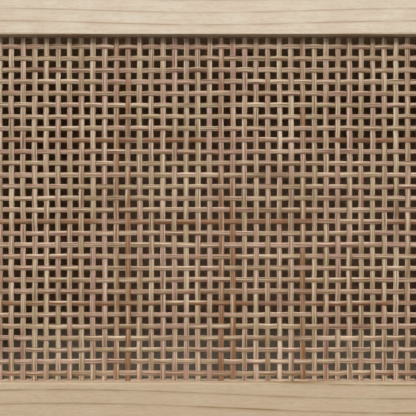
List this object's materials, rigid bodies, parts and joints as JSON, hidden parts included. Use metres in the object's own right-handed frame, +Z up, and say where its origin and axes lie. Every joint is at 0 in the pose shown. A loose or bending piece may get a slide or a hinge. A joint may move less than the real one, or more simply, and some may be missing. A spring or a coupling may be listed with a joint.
{
  "type": "tv cabinet",
  "caption": "Low pine TV cabinet on tapered legs, with an open media niche and inset hinged doors panelled in open square-woven cane.",
  "frame": {"origin": "on the floor, under the middle of the whole outline, knobs included", "axes": "+X along the cabinet's width to the right as seen from the front, +Y from the front to the back, +Z up"},
  "size_m": [1.5, 0.422, 0.474],
  "materials": {
    "pine": "satin lacquer",
    "hardboard": "matt",
    "cane": "natural",
    "brass": "satin",
    "steel": "zinc plated",
    "brown_plastic": "matt"
  },
  "bodies": {
    "cabinet": {"top_panel": "pine", "bottom_panel": "pine", "left_side_panel": "pine", "right_side_panel": "pine", "left_divider": "pine", "right_divider": "pine", "back_panel": "hardboard", "lower_cable_grommet": "brown_plastic", "upper_cable_grommet": "brown_plastic", "media_shelf": "pine", "left_front_shelf_pin": "steel", "left_rear_shelf_pin": "steel", "right_front_shelf_pin": "steel", "right_rear_shelf_pin": "steel", "left_front_leg": "pine", "left_rear_leg": "pine", "right_front_leg": "pine", "right_rear_leg": "pine", "left_front_leg_plate": "steel", "left_rear_leg_plate": "steel", "right_front_leg_plate": "steel", "right_rear_leg_plate": "steel", "left_upper_hinge_leaf": "brass", "left_lower_hinge_leaf": "brass", "right_upper_hinge_leaf": "brass", "right_lower_hinge_leaf": "brass", "left_upper_hinge_pin": "brass", "left_lower_hinge_pin": "brass", "right_upper_hinge_pin": "brass", "right_lower_hinge_pin": "brass", "left_magnetic_catch": "brown_plastic", "right_magnetic_catch": "brown_plastic"},
    "left_door": {"left_door_top_rail": "pine", "left_door_bottom_rail": "pine", "left_door_hinge_stile": "pine", "left_door_lock_stile": "pine", "left_door_cane_panel": "cane", "left_door_top_bead": "pine", "left_door_bottom_bead": "pine", "left_door_hinge_bead": "pine", "left_door_lock_bead": "pine", "left_door_knob": "pine", "left_door_knob_screw": "steel", "left_door_strike_plate": "steel", "left_door_upper_hinge_leaf": "brass", "left_door_lower_hinge_leaf": "brass"},
    "right_door": {"right_door_top_rail": "pine", "right_door_bottom_rail": "pine", "right_door_hinge_stile": "pine", "right_door_lock_stile": "pine", "right_door_cane_panel": "cane", "right_door_top_bead": "pine", "right_door_bottom_bead": "pine", "right_door_hinge_bead": "pine", "right_door_lock_bead": "pine", "right_door_knob": "pine", "right_door_knob_screw": "steel", "right_door_strike_plate": "steel", "right_door_upper_hinge_leaf": "brass", "right_door_lower_hinge_leaf": "brass"}
  },
  "joints": [
    {"name": "left_door_hinge", "type": "hinge", "parent": "cabinet", "child": "left_door", "pos_m": [-0.72835, -0.1918, 0.312], "axis": [0, 0, -1], "range_deg": [0, 180]},
    {"name": "right_door_hinge", "type": "hinge", "parent": "cabinet", "child": "right_door", "pos_m": [0.72835, -0.1918, 0.312], "axis": [0, 0, 1], "range_deg": [0, 180]}
  ]
}
